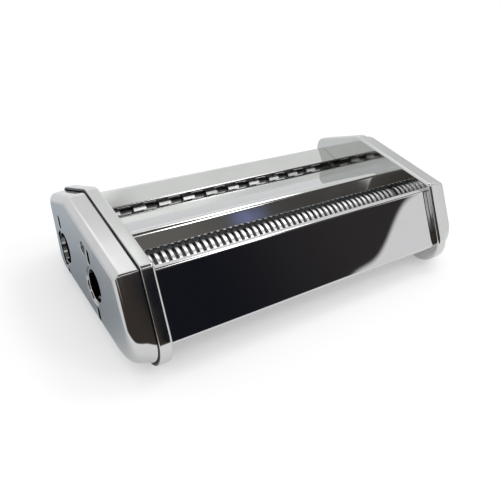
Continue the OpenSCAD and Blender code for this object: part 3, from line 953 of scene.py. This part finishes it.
    def _cuts(self, draft: Draft) -> list[list[Edges]]:
        """Cut the round holes through the cap's end: the screw's, and the crank's in the left cap.

        Args:
            draft: the cap's drawing.

        Returns:
            Each hole's rings, from the outer to the inner face.
        """
        sunk, head = self.face - self.cap_wall, self.face - self.screw_drop
        chain = ((self.face, self.screw_head_r + self.edge), (self.face - self.edge, self.screw_head_r),
                 (head, self.screw_head_r), (head, self.screw_r), (self.web_t, self.screw_r),
                 (self.web_t, self.boss_r), (sunk, self.boss_r))
        cuts = [[draft.circle(depth, self.screw_axis, radius, self.screw_segments)
                 for depth, radius in chain]]
        step, wide = self.face - self.ring_d, self.crank_hole_r + self.ring_w
        chain = ((self.face, wide + self.edge), (self.face - self.edge, wide), (step, wide),
                 (step, self.crank_hole_r + self.edge), (step - self.edge, self.crank_hole_r),
                 (sunk, self.crank_hole_r))
        cuts += [[draft.circle(depth, axis, radius) for depth, radius in chain] for axis in self.drives]
        return cuts

    def _cap(self) -> bpy.types.Object:
        """Loft the cap's wall and cut its holes.

        Returns:
            The cap.
        """
        draft = self._draft()
        outer, inner = self._loft(draft, 0.0), self._loft(draft, self.cap_wall)
        draft.join(outer[0], inner[0])
        cuts = self._cuts(draft)
        for rings in cuts:
            draft.join(*rings)
        draft.fill(outer[1], *(rings[0] for rings in cuts))
        draft.fill(inner[1], *(rings[-1] for rings in cuts))
        work = cut_out(draft.close(), self._slots()) if self.drives else draft.close()
        piece = as_piece(work, f"{self.name}_cap", f"{self.name}_end_cap", CHROME)
        steady(piece)
        return piece


@dataclass
class Covers:
    """The three sheet covers and the channels behind, in millimetres."""

    sheet_t: float = 0.8
    recess: float = 2.8
    bend_r: float = 1.6
    lip_bend: float = 0.6
    shoulder_bend: float = 2.0
    bend_steps: int = 10
    corner: float = 0.3
    corner_segments: int = 3
    corner_angle: float = math.radians(50)
    hem_r: float = 1.8
    hem_run: float = 3.0
    hem_lip: float = 2.0
    panel_drop: float = 3.4
    panel_foot_h: float = 11.0
    ledge: float = 2.2
    ledge_rise: float = math.radians(8)
    feed_lip: float = 7.0
    feed_lip_fall: float = math.radians(66)
    roller_r: float = 7.5
    brow: tuple[float, float] = (1.4, 1.8)
    brow_drop: float = 0.7
    brow_r: float = 0.3
    fold: tuple[float, float] = (4.6, 6.2)
    fold_r: float = 3.3
    slot: tuple[float, float] = (3.7, 1.4)
    slot_lip_h: float = 0.6
    slot_step: float = 0.9
    slot_lip_l: float = 1.8
    lip_back: float = 0.4
    rear_rise: float = math.radians(12.8)
    rear_foot_drop: float = 3.4

    def build(self) -> list[bpy.types.Object]:
        """Make the covers and the channels."""
        made = [self._panel(), self._centre(), self._rear()]
        made += [Skin(f"{end}_slide_channel", ROD).build() for end in ENDS]
        return made

    def _sheet(self, node: str, finish: Metal, path: Sequence[Vector], radii: Sequence[float],
               outwards: Vector) -> bpy.types.Object:
        """Fold a sheet across the head and give it its thickness.

        Args:
            node: the CAD node that it replaces.
            finish: its metal.
            path: the sheet's outer face in the side outline.
            radii: the radius of each bend.
            outwards: where its largest face looks.

        Returns:
            The sheet.
        """
        draft = Draft(1, -OUTLINE.inner_w / 2, self.bend_steps)
        swept = bmesh.ops.extrude_edge_only(draft.work, edges=draft.strip(0.0, path, radii))
        moved = [item for item in swept["geom"] if isinstance(item, bmesh.types.BMVert)]
        bmesh.ops.translate(draft.work, verts=moved, vec=(OUTLINE.inner_w * MM, 0, 0))
        work = draft.close()
        if max(work.faces, key=lambda face: face.calc_area()).normal.dot(outwards) < 0:
            bmesh.ops.reverse_faces(work, faces=work.faces)
        piece = as_piece(work, f"{node}_sheet", node, finish)
        wall = piece.modifiers.new("sheet_thickness", "SOLIDIFY")
        wall.thickness = self.sheet_t * MM
        wall.offset = -1
        wall.use_even_offset = True
        soften(piece, self.corner, self.corner_segments, self.corner_angle)
        steady(piece)
        return piece

    def _panel(self) -> bpy.types.Object:
        """Fold the front panel: rolled hem, leaning face, ledge and feed lip.

        Returns:
            The panel.
        """
        lean = OUTLINE.front_lean
        along = Vector((math.cos(lean), math.sin(lean)))
        start = self.recess * Vector((along.y, -along.x))
        top = start - along * ((self.panel_drop + start.y) / along.y)
        foot = top + along * ((self.panel_foot_h - OUTLINE.front_h - top.y) / along.y)
        hem = foot + Vector((self.hem_run * self.hem_r, 0))
        rear = top + self.ledge * Vector((math.cos(self.ledge_rise), math.sin(self.ledge_rise)))
        lip = rear + self.feed_lip * Vector((math.cos(self.feed_lip_fall), -math.sin(self.feed_lip_fall)))
        path = [hem + Vector((0, self.hem_lip * self.hem_r)), hem, foot, top, rear, lip]
        radii = [0, self.hem_r, self.hem_r, self.bend_r, self.lip_bend * self.bend_r, 0]
        return self._sheet("front_panel", MIRROR, path, radii, Vector((0, -1, 0.6)))

    @property
    def _front_lip(self) -> Vector:
        """Return the front lip of the wide cutter's feed slot."""
        y, z = AXES.nip(Pair.WIDE)
        return Vector((y - self.slot[0], z + self.roller_r + self.slot_lip_h))

    def _centre(self) -> bpy.types.Object:
        """Fold the centre cover: steep front face, rounded fold and flat top.

        Returns:
            The cover.
        """
        brow = AXES.at(Pair.FINE, Part.DRIVE) + Vector((self.brow[0], self.roller_r + self.brow[1]))
        path = [brow - Vector((0, self.brow_drop)), brow, brow + Vector(self.fold), self._front_lip]
        return self._sheet("centre_cover", SHEET, path, [0, self.brow_r, self.fold_r, 0], Vector((0, 0, 1)))

    def _rear(self) -> bpy.types.Object:
        """Fold the rear cover: slot lip, rising top, rear face and rolled hem.

        Returns:
            The cover.
        """
        lip = self._front_lip + Vector((sum(self.slot), self.slot_step))
        face_y = OUTLINE.rear_d - self.recess
        top = Vector((face_y, lip.y + (face_y - lip.x) * math.tan(self.rear_rise)))
        foot = Vector((face_y, AXES.wide_z - self.roller_r - self.rear_foot_drop))
        hem = foot - Vector((self.hem_run * self.hem_r, 0))
        path = [lip + Vector((self.lip_back, -self.slot_lip_l)), lip, top, foot, hem,
                hem + Vector((0, self.hem_lip * self.hem_r))]
        radii = [0, self.lip_bend * self.bend_r, self.shoulder_bend * self.bend_r, self.hem_r, self.hem_r, 0]
        return self._sheet("rear_cover", SHEET, path, radii, Vector((0, 0.5, 1)))


@dataclass
class Cutter:
    """One turned roller: a row of discs between two journals, in millimetres."""

    pair: Pair
    part: Part
    strand: float
    steel: CutterSteel
    disc_r: float = 7.5
    groove_r: float = 5.9
    journal_r: float = 4.5
    disc_gap: float = 0.08
    margin: float = 1.2
    chamfer: float = 0.1
    gear_x: float = 2.0
    clip_x: float = 6.0
    clip_t: float = 0.8
    clip_groove: float = 0.5
    tail: float = 0.8
    tail_chamfer: float = 0.2
    turns: int = 56

    @property
    def phase(self) -> float:
        """Return where in a pitch the middle of a disc lies."""
        return 0.75 if self.part is Part.DRIVE else 0.25

    def _journal(self, clip_at: float) -> list[tuple[float, float]]:
        """Return a journal's end as [distance from the end plate, radius], with its clip's groove."""
        small, far = self.journal_r - self.clip_groove, clip_at + self.clip_t
        end, c = far + self.tail, self.tail_chamfer
        return [(clip_at, self.journal_r), (clip_at, small), (far, small), (far, self.journal_r),
                (end - c, self.journal_r), (end, self.journal_r - c), (end, 0.0)]

    def _profile(self) -> list[tuple[float, float]]:
        """Return the roller's outline as [x from the left end plate, radius]."""
        width = OUTLINE.inner_w
        pitch = 2 * (self.strand + self.disc_gap)
        count = math.floor((width - 2 * self.margin) / pitch)
        first = (width - count * pitch) / 2
        left = ([(self.gear_x, self.journal_r), (self.gear_x, 0.0)] if self.part is Part.DRIVE
                else self._journal(self.gear_x))
        points = [(-x, r) for x, r in reversed(left)]
        points += [(self.margin, self.journal_r), (self.margin, self.groove_r)]
        half, c = self.strand / 2, self.chamfer
        for k in range(count):
            x = first + (k + self.phase) * pitch
            points += [(x - half, self.groove_r), (x - half, self.disc_r - c), (x - half + c, self.disc_r),
                       (x + half - c, self.disc_r), (x + half, self.disc_r - c), (x + half, self.groove_r)]
        points += [(width - self.margin, self.groove_r), (width - self.margin, self.journal_r)]
        return points + [(width + x, r) for x, r in self._journal(self.clip_x)]

    def build(self) -> bpy.types.Object:
        """Turn the roller.

        Returns:
            The roller.
        """
        name = f"{self.pair.value}_{self.part.value}"
        axis = AXES.at(self.pair, self.part)
        draft = Draft(1, -OUTLINE.inner_w / 2)
        verts = [draft.work.verts.new(draft.at(x, axis + Vector((0, r)))) for x, r in self._profile()]
        edges = [draft.work.edges.new(pair) for pair in zip(verts, verts[1:])]
        middle = draft.at(0, axis)
        bmesh.ops.spin(draft.work, geom=verts + edges, cent=middle, axis=(1, 0, 0),
                       angle=2 * math.pi, steps=self.turns, use_merge=True)
        finish = replace(self.steel, name=f"cutter_{name}", axis=(middle.y / MM, middle.z / MM))
        return as_piece(draft.close(), f"{name}_roller_turned", f"{name}_roller", finish)


@dataclass
class CutterPair:
    """One pair of interleaved cutters with what carries and drives it."""

    pair: Pair
    strand: float
    combs: tuple[str, str]
    steel: CutterSteel

    def build(self) -> list[bpy.types.Object]:
        """Make the pair's pieces."""
        name = self.pair.value
        made = [Skin(f"{name}_{kind}", finish).build()
                for kind, finish in (("crank_socket", ROD), ("drive_clip", DARK), ("follower_clips", DARK))]
        for part in Part:
            made.append(Cutter(self.pair, part, self.strand, self.steel).build())
            made.append(Skin(f"{name}_{part.value}_gear", GEAR).build())
            made += [Skin(f"{name}_{part.value}_{end}_bush", BUSH).build() for end in ENDS]
        # the combs take the painted-shade steel
        made += [Skin(f"{name}_{where}_comb", PAINTED_SHADE_COMB, 0.0).build() for where in self.combs]
        return made


@dataclass
class TieRods:
    """The rods that hold the end plates apart, with their nuts."""

    def build(self) -> list[bpy.types.Object]:
        """Make the rods and nuts."""
        return [Skin(name, ROD).build() for name in (*RODS, "tie_rod_nuts")]


@dataclass(frozen=True)
class Softbox:
    """A soft rectangular lamp that looks at the head, in metres and watts."""

    name: str
    place: Triple
    size: tuple[float, float]
    power: float
    looks_at: Triple = (0.0, 0.0, 0.02)

    def build(self) -> None:
        """Hang the lamp."""
        data = bpy.data.lights.new(self.name, "AREA")
        data.shape = "RECTANGLE"
        data.size, data.size_y = self.size
        data.energy = self.power
        lamp = place_object(self.name, data)
        lamp.location = self.place
        lamp.rotation_euler = (Vector(self.looks_at) - lamp.location).to_track_quat("-Z", "Y").to_euler()


@dataclass
class Floor:
    """A pale floor that shows the camera white and keeps the shadow; gloss sees two dark places, painted
    shade beside the left end and a painted dark reflection far out in front, and a painted glow brighter in
    front than behind.
    """

    half: float = 6.0
    paper: tuple[Colour, Colour] = ((0.74, 0.74, 0.74), (0.72, 0.72, 0.72))
    fibre: Pattern = Pattern(120.0, 3.0)
    fibre_shows: float = 0.2
    paper_rough: float = 0.9
    glow: float = 0.34
    # painted light for gloss rays: the floor glows brighter in front than behind
    front_glow: Colour = (0.30, 0.30, 0.30)
    rear_glow: Colour = (0.12, 0.13, 0.15)
    rear: Step = Step(-0.045, 0.045)
    # painted dark reflection: gloss rays see the floor near black far out in front
    hall_turn: tuple[Step, Step] = (Step(32.0, 20.0), Step(-80.0, -70.0))
    hall_far: Step = Step(0.03, 0.08)
    hall_painted_dark: Colour = (0.04, 0.04, 0.04)
    # painted shade: gloss rays see the floor bluish grey beside the left end
    beside_x: tuple[Step, Step] = (Step(-0.150, -0.092), Step(-0.080, -0.088))
    beside_y: tuple[Step, Step] = (Step(-0.06, 0.0), Step(0.16, 0.10))
    beside_painted_shade: Colour = (0.48, 0.53, 0.58)

    def build(self) -> None:
        """Lay the floor."""
        work = bmesh.new()
        bmesh.ops.create_grid(work, x_segments=1, y_segments=1, size=self.half)
        mesh = bpy.data.meshes.new("floor")
        work.to_mesh(mesh)
        work.free()
        floor = place_object("floor", mesh)
        mesh.materials.append(self._material())

    def _material(self) -> bpy.types.Material:
        """Draw the floor's material.

        Returns:
            The material.
        """
        made = bpy.data.materials.new("floor_paper")
        made.use_nodes = True
        board = Board(made.node_tree)
        camera, gloss = board.rays()
        place = board.coordinates("Object")
        x, y, _ = board.parts(place)
        turn = board.turn(x, y)
        # painted dark reflection far out in front, for gloss rays only
        hall = gloss * self.hall_far.over(x * x + y * y)
        for step in self.hall_turn:
            hall = hall * step.over(turn)
        # painted shade beside the left end, for gloss rays only
        beside = gloss
        for step in self.beside_x:
            beside = beside * step.over(x)
        for step in self.beside_y:
            beside = beside * step.over(y)
        paper = board.blend(board.noise(place, self.fibre) * self.fibre_shows, *self.paper)
        # the painted dark reflection and the painted shade are mixed into the paper colour
        paper = board.blend(hall, board.blend(beside, paper, self.beside_painted_shade), self.hall_painted_dark)
        # painted light and shade for gloss rays: the glow is brighter in front than behind, and black in the
        # two painted dark places
        shown = board.blend(self.rear.over(y), self.front_glow, self.rear_glow)
        shown = board.blend((hall + beside).low(1.0), shown, BLACK)
        matt = board.add("ShaderNodeBsdfPrincipled", None,
                         {"Base Color": paper, "Roughness": self.paper_rough})
        glow = board.add("ShaderNodeEmission", None, {
            "Color": board.blend(gloss, (self.glow,) * 3, shown), "Strength": (camera + gloss).low(1.0)})
        both = board.add("ShaderNodeAddShader", None, {0: matt.outputs[0], 1: glow.outputs[0]})
        board.add("ShaderNodeOutputMaterial", None, {"Surface": both.outputs[0]})
        return made


@dataclass(frozen=True)
class Patch:
    """A soft patch of the sky: a strength over a span of turn and a span of rise, in degrees."""

    turn: Step | Hump
    rise: Step | Hump
    strength: float = 1.0

    def over(self, turn: Signal, rise: Signal) -> Signal:
        """Return the patch's strength in every direction."""
        return self.turn.over(turn) * self.rise.over(rise) * self.strength


@dataclass
class Sky:
    """White light from all round, and a dark room in front that only gloss shows.

    Turn runs from the front to the right and rise from the horizon up, both in degrees. The room's sill,
    right and left edges are a level and what is added to it along the edge.
    """

    plain: Colour = (0.85, 0.85, 0.85)
    sill: float = -1.0
    sill_adds: tuple[Step, ...] = (Step(20.0, 30.0, 3.0), Step(28.0, 42.0, 9.7), Step(43.0, 50.5, 3.7))
    sill_blur: float = 0.35
    right: float = 50.6
    right_adds: tuple[Step, ...] = (Step(28.0, 40.0, 27.0), Step(59.0, 74.0, 110.0))
    right_blur: float = 1.6
    left: float = -76.0
    left_adds: tuple[Step | Hump, ...] = (Hump(14.0, 4.5, 30.0), Step(60.0, 70.0, -110.0))
    left_blur: float = 6.0
    window: tuple[Patch, Step] = (Patch(Step(68.0, 56.0), Step(45.0, 50.0)), Step(62.0, 58.0))
    low_wall: tuple[Colour, Colour] = ((0.011, 0.012, 0.017), (0.040, 0.036, 0.036))
    low_wall_turn: Step = Step(26.0, 46.0)
    door: Colour = (0.052, 0.042, 0.036)
    door_turn: Step = Step(18.5, 19.5)
    high_wall: tuple[Colour, Colour] = ((0.17, 0.16, 0.15), (0.08, 0.075, 0.07))
    high_wall_turn: Step = Step(26.0, 44.0)
    high_wall_rise: Step = Step(21.0, 30.0)
    screen: Colour = (0.24, 0.27, 0.50)
    screen_at: Patch = Patch(Hump(37.5, 3.0), Hump(31.5, 3.0))
    light: float = 0.96
    lights: tuple[Patch, ...] = (
        Patch(Step(140.0, 150.0), Hump(28.0, 7.0), 0.5), Patch(Step(135.0, 145.0), Hump(3.0, 4.0), 0.6),
        Patch(Hump(122.0, 12.0), Hump(27.0, 9.0), -0.2), Patch(Step(84.0, 94.0), Hump(63.0, 4.0), 0.8),
        Patch(Step(148.0, 154.0), Step(41.0, 46.5), 0.5), Patch(Hump(78.0, 18.0), Step(40.0, 30.0), -0.45),
        Patch(Step(144.0, 150.0), Hump(55.0, 6.0), -0.6))

    def build(self) -> None:
        """Light the studio."""
        world = bpy.data.worlds.new("studio")
        world.use_nodes = True
        bpy.context.scene.world = world
        board = Board(world.node_tree)
        camera, gloss = board.rays()
        x, y, z = board.parts(board.coordinates("Generated"))
        turn = board.turn(x, y)
        rise = board.math("ARCSINE", z) * math.degrees(1)
        dark = self._room(turn, rise)
        shown = board.blend(dark, WHITE, self._walls(board, turn, rise))
        bright = sum(patch.over(turn, rise) for patch in self.lights) + (self.light - 1.0)
        back = board.add("ShaderNodeBackground", None, {
            "Color": board.blend(camera, board.blend(gloss, self.plain, shown), WHITE),
            "Strength": gloss * (1.0 - dark) * bright + 1.0})
        board.add("ShaderNodeOutputWorld", None, {"Surface": back.outputs[0]})

    def _room(self, turn: Signal, rise: Signal) -> Signal:
        """Return where the dark room shows.

        Args:
            turn: degrees from the front to the right.
            rise: degrees above the horizon.

        Returns:
            A signal that is 1 inside the room.
        """
        sill = sum(step.over(turn) for step in self.sill_adds) + self.sill
        right = sum(step.over(rise) for step in self.right_adds) + self.right
        left = sum(step.over(rise) for step in self.left_adds) + self.left
        inside = (1.0 - turn.ease(right, right + self.right_blur)) * turn.ease(left, left + self.left_blur)
        above = rise.ease(sill - self.sill_blur, sill + self.sill_blur)
        opening, top = self.window
        return inside * above * (1.0 - opening.over(turn, rise) * top.over(rise))

    def _walls(self, board: Board, turn: Signal, rise: Signal) -> bpy.types.NodeSocket:
        """Return the colour of the room's walls.

        Args:
            board: the world's board.
            turn: degrees from the front to the right.
            rise: degrees above the horizon.

        Returns:
            The colour's socket.
        """
        low = board.blend(self.low_wall_turn.over(turn), *self.low_wall)
        low = board.blend(self.door_turn.over(turn), self.door, low)
        high = board.blend(self.high_wall_turn.over(turn), *self.high_wall)
        wall = board.blend(self.high_wall_rise.over(rise), low, high)
        return board.blend(self.screen_at.over(turn, rise), wall, self.screen)


@dataclass
class Camera:
    """The camera: where it stands, its own right and up, and its lens in millimetres."""

    eye: Triple = (-0.1397, -0.1741, 0.1505)
    right: Triple = (0.8248, -0.5584, 0.0887)
    up: Triple = (0.2489, 0.4993, 0.8299)
    lens: float = 38.8
    sensor: float = 36.0
    nearest: float = 0.01

    def build(self) -> None:
        """Stand the camera up."""
        data = bpy.data.cameras.new("camera")
        data.sensor_width = self.sensor
        data.lens = self.lens
        data.clip_start = self.nearest
        camera = place_object("camera", data)
        right, up = Vector(self.right), Vector(self.up)
        turned = Matrix((right, up, right.cross(up))).transposed().to_4x4()
        camera.matrix_world = Matrix.Translation(self.eye) @ turned
        bpy.context.scene.camera = camera


def main() -> None:
    """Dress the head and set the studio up."""
    logging.basicConfig(level=logging.INFO)
    groups = (EndFrame(End.LEFT, cap_depth=9.6), EndFrame(End.RIGHT, cap_depth=7.6), Covers(),
              CutterPair(Pair.FINE, 1.5, ("rear", "front"), FINE_STEEL),
              CutterPair(Pair.WIDE, 6.45, ("front", "rear"), WIDE_STEEL), TieRods())
    for group in groups:
        for piece in group.build():
            LOG.info("%s: %s", type(group).__name__, piece.name)
    for part in (Floor(), Sky(), Softbox("right_softbox", (0.53, 0.17, 0.98), (0.4, 0.25), 1.2),
                 Softbox("front_softbox", (0.46, -0.50, 0.87), (0.25, 0.2), 0.8), Camera()):
        part.build()
    bpy.context.scene.view_settings.view_transform = "Standard"


if __name__ == "__main__":
    main()
